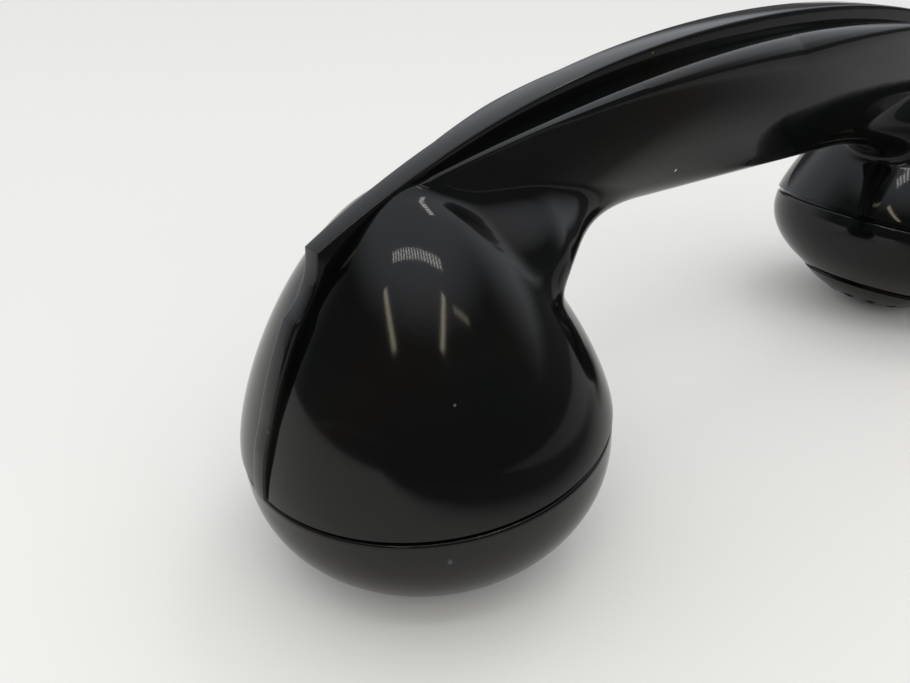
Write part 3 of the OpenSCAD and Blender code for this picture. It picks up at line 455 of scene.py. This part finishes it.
def receiver_profile():
    """The earpiece: a bellied skirt down to its rim, a dished face and the seat of the capsule."""
    span = (CAP_DEPTH - CAP_BELLY) / (1 - (CAP_FACE_R / CAP_R) ** (1 / CAP_BEND)) ** (1 / CAP_POWER)
    skirt = [(float(CAP_R * (1 - (max(d - CAP_BELLY, 0) / span) ** CAP_POWER) ** CAP_BEND), -d)
             for d in np.linspace(SEAM_WIDE + CAP_EDGE, CAP_DEPTH - 0.05, 60)]
    dish_r = CAP_FACE_R - DISH_LIP
    dish = [(float(x), -CAP_DEPTH + DISH_DEPTH * (1 - (x / dish_r) ** 2))
            for x in np.linspace(dish_r, TINY, 28)]
    floor = -(CAP_DEPTH - DISH_DEPTH - CAP_WALL)
    inside = [(TINY, floor), (INNER_R - INNER_SLOPE_R, floor), (INNER_R, floor + INNER_SLOPE_H),
              (INNER_R, -LEDGE_D), (SKIRT_R, -LEDGE_D), (SKIRT_R, -SEAM_GAP)]
    rim = [(CAP_FACE_R - 0.25, -CAP_DEPTH + 0.02), (dish_r + 0.3, -CAP_DEPTH + 0.04)]
    return cap_edge() + skirt + rim + dish + inside


MOUTH_UP = (MOUTH_ROUND - SEAM_Z) / math.cos(LEAN[TRANSMITTER])


def mouth_d(x, r=MOUTH_ROUND):
    """Depth of the domed mouthpiece below the cup's rim, at a distance from its axis."""
    return math.sqrt(r ** 2 - x * x) - MOUTH_UP


def transmitter_profile():
    """The mouthpiece: a rounded skirt, a fine groove, the dome with its even wall and the capsule's seat."""
    skirt = [(float(CAP_R * math.sqrt(1 - (max(d - CAP_BELLY, 0) / SKIRT_SPAN) ** 2)), -d)
             for d in np.linspace(SEAM_WIDE + CAP_EDGE, SKIRT_END, 50)]
    lip = mouth_d(MOUTH_R)
    groove = [(MOUTH_R + GROOVE_W, -lip + GROOVE_W), (MOUTH_R - GROOVE_DEEP, -lip + GROOVE_W),
              (MOUTH_R - GROOVE_DEEP, -lip + 0.1), (MOUTH_R - 0.12, -lip + 0.02)]
    mouth = [(float(x), -mouth_d(x)) for x in np.linspace(MOUTH_R - 0.1, TINY, 48)]
    floor = [(float(x), -mouth_d(x, MOUTH_ROUND - CAP_WALL))
             for x in np.linspace(TINY, MOUTH_FLOOR_R, 16)]
    inside = [(INNER_R, -LEDGE_D), (SKIRT_R, -LEDGE_D), (SKIRT_R, -SEAM_GAP)]
    return cap_edge() + skirt + groove + mouth + floor + inside


def build_cap(name, side, profile, deepest, hole_rings):
    """A turned cap with rings of sound holes."""
    cap = lathe(name, side, profile)
    holes = []
    for count, ring_r in hole_rings:
        for i in range(count):
            turn = 2 * math.pi * i / count
            x, y = ring_r * math.cos(turn), ring_r * math.sin(turn)
            low, high = (from_cup(side, [[x, y, z]])[0] for z in (-deepest - 1, -deepest / 2 - 1))
            holes.append(rod("sound_hole", low, high, [(0, SOUND_HOLE_R), (1, SOUND_HOLE_R)], 24))
    return cut(cap, holes)


# ---------------------------------------------------------------- finishes
class Shader:
    """A small helper that adds nodes to one tree and joins them."""

    def __init__(self, tree):
        self.tree = tree
        tree.nodes.clear()

    def node(self, kind, links=(), settings=(), **values):
        made = self.tree.nodes.new(kind)
        for name, value in settings:
            setattr(made, name, value)
        for name, value in values.items():
            made.inputs[name.replace("_", " ")].default_value = value
        for socket, source in links:
            self.tree.links.new(source, made.inputs[socket])
        return made

    def ramp(self, source, low, high, start, end, smoothly=True):
        """The value of a source between low and high, mapped to start and end."""
        kind = (("interpolation_type", "SMOOTHSTEP"),) if smoothly else ()
        made = self.node("ShaderNodeMapRange", [("Value", source)], kind)
        for name, value in (("From Min", low), ("From Max", high), ("To Min", start), ("To Max", end)):
            made.inputs[name].default_value = value
        return made.outputs["Result"]

    def math(self, operation, a, b):
        made = self.node("ShaderNodeMath", settings=(("operation", operation),))
        for socket, value in ((0, a), (1, b)):
            if isinstance(value, (int, float)):
                made.inputs[socket].default_value = value
            else:
                self.tree.links.new(value, made.inputs[socket])
        return made.outputs["Value"]

    def mix(self, factor, first, second):
        made = self.node("ShaderNodeMix", settings=(("data_type", "RGBA"),))
        for socket, value in ((0, factor), (6, first), (7, second)):
            if isinstance(value, bpy.types.NodeSocket):
                self.tree.links.new(value, made.inputs[socket])
            else:
                made.inputs[socket].default_value = value
        return made.outputs[2]

    def place(self, stretch=(1, 1, 1)):
        where = self.node("ShaderNodeTexCoord").outputs["Object"]
        return self.node("ShaderNodeMapping", [("Vector", where)], Scale=stretch).outputs["Vector"]

    def noise(self, place, scale, detail=3.0, rough=0.5):
        return self.node("ShaderNodeTexNoise", [("Vector", place)], Scale=scale, Detail=detail,
                         Roughness=rough).outputs["Fac"]

    def bump(self, height, strength, depth, before=None):
        links = [("Height", height)] + ([("Normal", before)] if before else [])
        return self.node("ShaderNodeBump", links, Strength=strength, Distance=depth).outputs["Normal"]


def rgb(r, g, b):
    return (r, g, b, 1.0)


def new_material(name):
    made = bpy.data.materials.new(name)
    made.use_nodes = True
    return made, Shader(made.node_tree)


def end_with(shader, surface):
    shader.node("ShaderNodeOutputMaterial", [("Surface", surface)])


def plain_finish(name, light, dark, rough, metal=0.0, mottle=180.0, grain=1500.0, bump=0.15,
                 stretch=(1, 1, 1), winding=None, sheen=0.0, clear=0.0):
    """Mottled colour, uneven roughness and a fine grain, with a wound or woven relief if asked, its grooves
    darkened as painted shade.
    """
    made, shader = new_material(name)
    place = shader.place(stretch)
    cloud, fine = shader.noise(place, mottle), shader.noise(place, grain, 5, 0.6)
    blend = shader.ramp(cloud, 0.35, 0.68, 0, 1)
    colour = shader.mix(blend, rgb(*dark), rgb(*light))
    spots_and_groove_shade = shader.mix(shader.ramp(fine, 0.6, 0.75, 0, 0.45), colour, rgb(*(c * 0.55 for c in dark)))
    normal = shader.bump(fine, bump, 0.0001)
    if winding:
        wave = shader.node("ShaderNodeTexWave", [("Vector", shader.place())],
                           (("bands_direction", winding[0]),), Scale=winding[1], Distortion=0.6, Detail=1.0)
        normal = shader.bump(wave.outputs["Fac"], 0.8, 0.0003, normal)
        # painted shade: the relief's grooves between turns are painted darker
        spots_and_groove_shade = shader.mix(shader.ramp(wave.outputs["Fac"], 0.1, 0.6, 0.7, 0), spots_and_groove_shade,
                             rgb(*(c * 0.3 for c in dark)))
    surface = shader.node("ShaderNodeBsdfPrincipled",
                          [("Base Color", spots_and_groove_shade), ("Normal", normal),
                           ("Roughness", shader.ramp(cloud, 0.3, 0.7, *rough))],
                          Metallic=metal, Sheen_Weight=sheen, Transmission_Weight=clear)
    end_with(shader, surface.outputs["BSDF"])
    return made


# The polished moulding: its three near-blacks, roughness and index
BLACK_COOL, BLACK_GREEN = (0.0018, 0.0020, 0.0020), (0.0032, 0.0042, 0.0037)
BLACK_BROWN = (0.0065, 0.0035, 0.0018)
BAKELITE_ROUGH, BAKELITE_IOR = (0.045, 0.10), 1.42
# Fine scratches: (stretch, scale, turn in radians)
SCRATCHES = [((0.03, 1, 1), 900, 0.7), ((1, 0.05, 0.3), 700, -0.5)]
# Worn specks in the polish: (place in millimetres, size, colour, unevenness)
SPECKS = [
    ((-92.0, -22.9, 42.5), 0.45, (0.10, 0.09, 0.08), 0.3),
    ((-28.1, -6.6, 60.0), 0.65, (0.60, 0.60, 0.57), 0.4),
    ((-34.0, -3.2, 80.8), 0.55, (0.13, 0.08, 0.04), 0.4),
    ((-110.6, -1.5, 34.1), 0.45, (0.08, 0.07, 0.06), 0.3),
    ((-96.2, -27.3, 19.3), 1.5, (0.07, 0.08, 0.10), 1.6),
]


def bakelite_finish(name, brown):
    """Near-black polished moulding with faint flow marks, fine scratches, hazy patches and a few specks."""
    made, shader = new_material(name)
    place = shader.place()
    flow = shader.noise(shader.place((0.35, 1, 1)), 38, 5, 0.55)
    haze = shader.noise(place, 22, 3, 0.5)
    dust = shader.noise(place, 2600, 2, 0.6)
    ripple = shader.noise(place, 95, 2, 0.5)
    colour = shader.mix(shader.ramp(flow, 0.4, 0.65, 0, 1), rgb(*BLACK_COOL), rgb(*BLACK_GREEN))
    colour = shader.mix(shader.ramp(haze, 0.5, 0.7, 0, brown), colour, rgb(*BLACK_BROWN))
    rough = shader.ramp(haze, 0.3, 0.7, *BAKELITE_ROUGH)
    normal = shader.bump(ripple, 0.05, 0.0006)
    for stretch, scale, turn in SCRATCHES:
        lean = shader.node("ShaderNodeVectorRotate", [("Vector", place)],
                           (("rotation_type", "Z_AXIS"),), Angle=turn)
        long = shader.node("ShaderNodeMapping", [("Vector", lean.outputs["Vector"])], Scale=stretch)
        line = shader.ramp(shader.noise(long.outputs["Vector"], scale, 1, 0.4), 0.72, 0.8, 0, 1)
        rough = shader.math("ADD", rough, shader.math("MULTIPLY", line, 0.06))
        normal = shader.bump(line, 0.06, 0.00003, normal)
    rough = shader.math("ADD", rough, shader.ramp(dust, 0.62, 0.8, 0, 0.12))
    normal = shader.bump(dust, 0.035, 0.00004, normal)
    for spot, size, tone, shift in SPECKS:
        far = shader.node("ShaderNodeVectorMath", [(0, place)], (("operation", "DISTANCE"),))
        far.inputs[1].default_value = [c * MM for c in spot]
        uneven = shader.math("ADD", far.outputs["Value"], shader.math("MULTIPLY", dust, shift * MM))
        mark = shader.ramp(uneven, size * 0.4 * MM, size * MM, 1, 0)
        colour = shader.mix(mark, colour, rgb(*tone))
        rough = shader.math("ADD", rough, shader.math("MULTIPLY", mark, 0.35))
    surface = shader.node("ShaderNodeBsdfPrincipled",
                          [("Base Color", colour), ("Roughness", rough), ("Normal", normal)],
                          IOR=BAKELITE_IOR)
    end_with(shader, surface.outputs["BSDF"])
    return made


# The finish of each piece that stays as CAD made it: (settings, nodes)
CAD_FINISHES = {
    "case_metal": (dict(light=(0.55, 0.56, 0.57), dark=(0.38, 0.39, 0.40), rough=(0.28, 0.42), metal=1.0,
                        stretch=(1, 1, 6)), ["receiver_case", "transmitter_case", "transmitter_diaphragm"]),
    "brass": (dict(light=(0.62, 0.45, 0.18), dark=(0.40, 0.27, 0.10), rough=(0.25, 0.45), metal=1.0,
                   mottle=420.0),
              ["receiver_grille", "transmitter_grille", "receiver_clamp_ring", "transmitter_clamp_ring",
               "receiver_contact", "transmitter_contact", "receiver_terminal_plates",
               "transmitter_terminal_plates", "receiver_terminal_screws", "transmitter_terminal_screws"]),
    "spring_bronze": (dict(light=(0.60, 0.40, 0.16), dark=(0.42, 0.26, 0.10), rough=(0.22, 0.36), metal=1.0,
                           stretch=(4, 1, 1)),
                      ["receiver_centre_spring", "receiver_case_spring", "transmitter_centre_spring",
                       "transmitter_case_spring"]),
    "steel": (dict(light=(0.50, 0.51, 0.52), dark=(0.30, 0.31, 0.32), rough=(0.22, 0.38), metal=1.0),
              ["receiver_diaphragm", "receiver_block_screws", "transmitter_block_screws", "cord_clamp",
               "cord_clamp_screws"]),
    "iron": (dict(light=(0.28, 0.28, 0.29), dark=(0.16, 0.16, 0.17), rough=(0.40, 0.60), metal=1.0),
             ["receiver_pole_pieces"]),
    "magnet_steel": (dict(light=(0.13, 0.13, 0.14), dark=(0.07, 0.07, 0.08), rough=(0.38, 0.58), metal=1.0),
                     ["receiver_magnet"]),
    "copper": (dict(light=(0.55, 0.20, 0.08), dark=(0.32, 0.10, 0.04), rough=(0.22, 0.34), metal=1.0,
                    winding=("Z", 900.0)), ["receiver_coils"]),
    "fibre": (dict(light=(0.20, 0.10, 0.04), dark=(0.11, 0.05, 0.02), rough=(0.55, 0.75), bump=0.3),
              ["receiver_bobbins"]),
    "phenolic": (dict(light=(0.10, 0.045, 0.020), dark=(0.05, 0.020, 0.010), rough=(0.25, 0.45)),
                 ["receiver_insulator", "transmitter_insulator", "transmitter_chamber", "receiver_block",
                  "transmitter_block"]),
    "felt": (dict(light=(0.26, 0.24, 0.19), dark=(0.15, 0.14, 0.11), rough=(0.9, 1.0), bump=1.0, sheen=0.4,
                  grain=2600.0), ["receiver_felt_ring", "transmitter_felt_ring"]),
    "oiled_silk": (dict(light=(0.62, 0.52, 0.26), dark=(0.48, 0.38, 0.17), rough=(0.30, 0.50), clear=0.4,
                        winding=("X", 1500.0)), ["transmitter_membrane"]),
    "carbon": (dict(light=(0.030, 0.030, 0.031), dark=(0.012, 0.012, 0.013), rough=(0.35, 0.75), bump=1.0,
                    mottle=1200.0, grain=2200.0),
               ["transmitter_front_electrode", "transmitter_back_electrode", "transmitter_granules"]),
    "wire_cotton": (dict(light=(0.34, 0.27, 0.13), dark=(0.20, 0.15, 0.07), rough=(0.8, 0.95), sheen=0.3,
                         winding=("X", 700.0)), ["handle_wires"]),
    "rubber": (dict(light=(0.020, 0.020, 0.020), dark=(0.010, 0.010, 0.010), rough=(0.55, 0.75), bump=0.4),
               ["cord_bush"]),
}


def dress(piece, made):
    piece.data.materials.clear()
    piece.data.materials.append(made)


# ---------------------------------------------------------------- the studio
# The camera's place in millimetres from midway between the cup rims, and its turns in radians
LENS, SENSOR = 34.362, 36.0
CAMERA_AT = (-155.44, -102.81, 82.261)
YAW, PITCH, ROLL = 0.669, 0.498, 0.007
VIEW_ALONG = Vector((math.sin(YAW), math.cos(YAW), 0))
NEAREST, FURTHEST = 0.01, 50
WARM, COOL = (1.0, 0.92, 0.68), (1.0, 0.98, 0.94)
DOME_AT = Vector((-0.090, -0.015, 0.055))
# (name, upper end and lower end as azimuth and elevation seen from the dome, width, power)
STRIPS = [("left_strip", (-107, 47), (-124, 31), 0.050, 0.26),
          ("right_strip", (-180, 49), (-163, 33), 0.040, 0.24),
          ("small_strip", (175, 43), (165, 37), 0.045, 0.05)]
# (name, first pane, last pane, distance, panes)
PANE_ROWS = [("front_pane", (-108, 61), (165, 58), 1.15, 17), ("side_pane", (66, 62), (96, 62), 1.1, 9)]
PANE_SIZE, PANE_POWER = (0.017, 0.10), 0.05
# The floor, in metres: painted lighter near the handset and a touch darker further off, as painted light and
# shade
FLOOR_HALF, FLOOR_CELLS, FLOOR_ROUGH, FLOOR_SPECULAR = 4.0, 40, 0.62, 0.2
FLOOR_NEAR, FLOOR_FAR, FLOOR_FADE = (0.92, 0.92, 0.91), (0.87, 0.87, 0.87), (-0.15, 0.10)
# Past the camera frame's right and lower edges the floor mirrors darker: painted shade that only glossy rays
# see, and glossy rays also see the whole floor a share darker, likewise painted shade.
FRAME_EDGE, FRAME_FADE, FLOOR_ASIDE_PAINTED_SHADE = (0.447, -0.894), (0.0, 0.15), (0.13, 0.13, 0.13)
FLOOR_FURTHER_PAINTED_SHADE, FURTHER_FADE, FLOOR_MIRROR_PAINTED_SHADE = (0.45, 0.45, 0.45), (0.10, 0.20), 0.18
# The room, by direction: mirrored dark behind the camera and low on the right, and pale elsewhere
ROOM_BEHIND, ROOM_CEILING = (-0.48, 0.18), (0.55, 0.95)
ROOM_RIGHT, ROOM_RIGHT_FADE, ROOM_LOW = (0.985, 0.174), (0.3, 0.6), (0.16, 0.34)
ROOM_PALE, ROOM_TOP, ROOM_DARK = (0.78, 0.80, 0.85), (0.92, 0.94, 1.00), (0.10, 0.10, 0.105)
ROOM_FILL, ROOM_SEEN = (0.90, 0.90, 0.89), (0.90, 0.91, 0.91)


def dot(shader, place, x, y, z=0.0):
    """How far a place or direction lies along (x, y, z)."""
    made = shader.node("ShaderNodeVectorMath", [(0, place)], (("operation", "DOT_PRODUCT"),))
    made.inputs[1].default_value = (x, y, z)
    return made.outputs["Value"]


def build_floor():
    """A pale floor that keeps the handset's shadow, with painted light and shade in its tone and painted
    shade in what the handset mirrors.
    """
    made = bmesh.new()
    bmesh.ops.create_grid(made, x_segments=FLOOR_CELLS, y_segments=FLOOR_CELLS, size=FLOOR_HALF)
    mesh = bpy.data.meshes.new("floor")
    made.to_mesh(mesh)
    made.free()
    floor = bpy.data.objects.new("floor", mesh)
    bpy.context.scene.collection.objects.link(floor)
    finish, shader = new_material("floor")
    place = shader.node("ShaderNodeTexCoord").outputs["Object"]
    ray = shader.node("ShaderNodeLightPath").outputs["Is Glossy Ray"]
    along = dot(shader, place, VIEW_ALONG.x, VIEW_ALONG.y)
    # painted light and shade: the floor is lighter towards the camera and darker further off
    tone = shader.mix(shader.ramp(along, *FLOOR_FADE, 0, 1), rgb(*FLOOR_NEAR), rgb(*FLOOR_FAR))
    aside = shader.ramp(dot(shader, place, FRAME_EDGE[0], FRAME_EDGE[1]), *FRAME_FADE, 0, 1)
    further = shader.ramp(dot(shader, place, 1, 0), *FURTHER_FADE, 0, 1)
    mirrored = shader.mix(further, rgb(*FLOOR_ASIDE_PAINTED_SHADE), rgb(*FLOOR_FURTHER_PAINTED_SHADE))
    # painted shade: glossy rays see the floor darker past the frame's right and lower edges
    tone = shader.mix(shader.math("MULTIPLY", aside, ray), tone, mirrored)
    # painted shade: glossy rays see the whole floor a share darker, dimming what the handset mirrors
    tone = shader.mix(shader.math("MULTIPLY", ray, FLOOR_MIRROR_PAINTED_SHADE), tone, rgb(0, 0, 0))
    grain = shader.noise(shader.place(), 900, 3, 0.6)
    surface = shader.node("ShaderNodeBsdfPrincipled",
                          [("Base Color", tone), ("Normal", shader.bump(grain, 0.05, 0.0002))],
                          Roughness=FLOOR_ROUGH)
    surface.inputs["Specular IOR Level"].default_value = FLOOR_SPECULAR
    end_with(shader, surface.outputs["BSDF"])
    dress(floor, finish)


def build_world():
    """A pale room, mirrored darker in part, and plain where the camera looks past the floor."""
    world = bpy.data.worlds.new("room")
    bpy.context.scene.world = world
    world.use_nodes = True
    shader = Shader(world.node_tree)
    where = shader.node("ShaderNodeTexCoord").outputs["Generated"]
    up = dot(shader, where, 0, 0, 1)
    behind = shader.ramp(dot(shader, where, -VIEW_ALONG.x, -VIEW_ALONG.y), *ROOM_BEHIND, 0, 1)
    behind = shader.math("MULTIPLY", behind, shader.ramp(up, *ROOM_CEILING, 1, 0))
    right = shader.ramp(dot(shader, where, ROOM_RIGHT[0], ROOM_RIGHT[1]), *ROOM_RIGHT_FADE, 0, 1)
    right = shader.math("MULTIPLY", right, shader.ramp(up, *ROOM_LOW, 1, 0))
    mirrored = shader.mix(shader.math("MAXIMUM", behind, right), rgb(*ROOM_PALE), rgb(*ROOM_DARK))
    rays = shader.node("ShaderNodeLightPath").outputs
    mirrored = shader.mix(shader.ramp(up, *ROOM_CEILING, 0, 1), mirrored, rgb(*ROOM_TOP))
    colour = shader.mix(rays["Is Glossy Ray"], rgb(*ROOM_FILL), mirrored)
    colour = shader.mix(rays["Is Camera Ray"], colour, rgb(*ROOM_SEEN))
    surface = shader.node("ShaderNodeBackground", [("Color", colour)], Strength=1.0)
    shader.node("ShaderNodeOutputWorld", [("Surface", surface.outputs["Background"])])


def toward(azimuth, elevation):
    """A direction from the dome, with its azimuth measured from +Y towards +X, in degrees."""
    a, e = math.radians(azimuth), math.radians(elevation)
    return Vector((math.sin(a) * math.cos(e), math.cos(a) * math.cos(e), math.sin(e)))


def area_light(name, place, along, size, power, colour):
    """A flat light that faces the dome, with its long side turned to lie along a direction."""
    data = bpy.data.lights.new(name, "AREA")
    data.shape, data.size, data.size_y = "RECTANGLE", size[0], size[1]
    data.energy, data.color = power, colour
    light = bpy.data.objects.new(name, data)
    back = (place - DOME_AT).normalized()
    side = along.cross(back).normalized()
    turn = Matrix((side, back.cross(side), back)).transposed().to_4x4()
    light.matrix_world = Matrix.Translation(place) @ turn
    bpy.context.scene.collection.objects.link(light)


def build_lights():
    """Two upright strips and rows of small panes, mirrored on the dome as streaks and fine stripes."""
    for name, top, low, width, power in STRIPS:
        ends = [DOME_AT + toward(*end) for end in (top, low)]
        reach = ends[0] - ends[1]
        area_light(name, (ends[0] + ends[1]) / 2, reach, (width, reach.length), power, WARM)
    for name, start, end, distance, count in PANE_ROWS:
        first, last = (DOME_AT + distance * toward(*where) for where in (start, end))
        for i in range(count):
            place = first.lerp(last, i / (count - 1))
            upright = (place - DOME_AT).cross(last - first)
            area_light(f"{name}_{i + 1}", place, upright, PANE_SIZE, PANE_POWER, COOL)


# ---------------------------------------------------------------- the camera
def build_camera():
    """The camera that was fitted to the photograph."""
    ahead = Vector((VIEW_ALONG.x * math.cos(PITCH), VIEW_ALONG.y * math.cos(PITCH), -math.sin(PITCH)))
    right = Vector((math.cos(YAW), -math.sin(YAW), 0))
    up = right.cross(ahead)
    x = math.cos(ROLL) * right + math.sin(ROLL) * up
    y = math.cos(ROLL) * up - math.sin(ROLL) * right
    turn = Matrix((x, y, -ahead)).transposed().to_4x4()
    data = bpy.data.cameras.new("camera")
    data.lens, data.sensor_width, data.sensor_fit = LENS, SENSOR, "HORIZONTAL"
    data.clip_start, data.clip_end = NEAREST, FURTHEST
    camera = bpy.data.objects.new("camera", data)
    place = (Vector(CAMERA_AT) + Vector((centre_shift, 0, SEAM_Z))) * MM
    camera.matrix_world = Matrix.Translation(place) @ turn
    bpy.context.scene.collection.objects.link(camera)
    bpy.context.scene.camera = camera


# ---------------------------------------------------------------- assembly
BROWN = {"bakelite_body": 0.35, "bakelite_receiver_cap": 0.6, "bakelite_transmitter_cap": 0.5}
bakelite = {name: bakelite_finish(name, brown) for name, brown in BROWN.items()}
body = build_body()
receiver_cap = build_cap("turned_receiver_cap", RECEIVER, receiver_profile(), CAP_DEPTH, RECEIVER_HOLES)
transmitter_cap = build_cap("turned_transmitter_cap", TRANSMITTER, transmitter_profile(), mouth_d(0),
                            TRANSMITTER_HOLES)
for piece, node, rides_on, finish in (
        (body, "handset_body", "handle", "bakelite_body"),
        (receiver_cap, "receiver_cap", "receiver_cap", "bakelite_receiver_cap"),
        (transmitter_cap, "transmitter_cap", "transmitter_cap", "bakelite_transmitter_cap")):
    dress(piece, bakelite[finish])
    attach(piece, rides_on)
    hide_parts(node)

for name, (settings, nodes) in CAD_FINISHES.items():
    made = plain_finish(name, **settings)
    for node in nodes:
        dress(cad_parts[node], made)

build_floor()
build_world()
build_lights()
build_camera()
bpy.context.scene.view_settings.view_transform = "Standard"
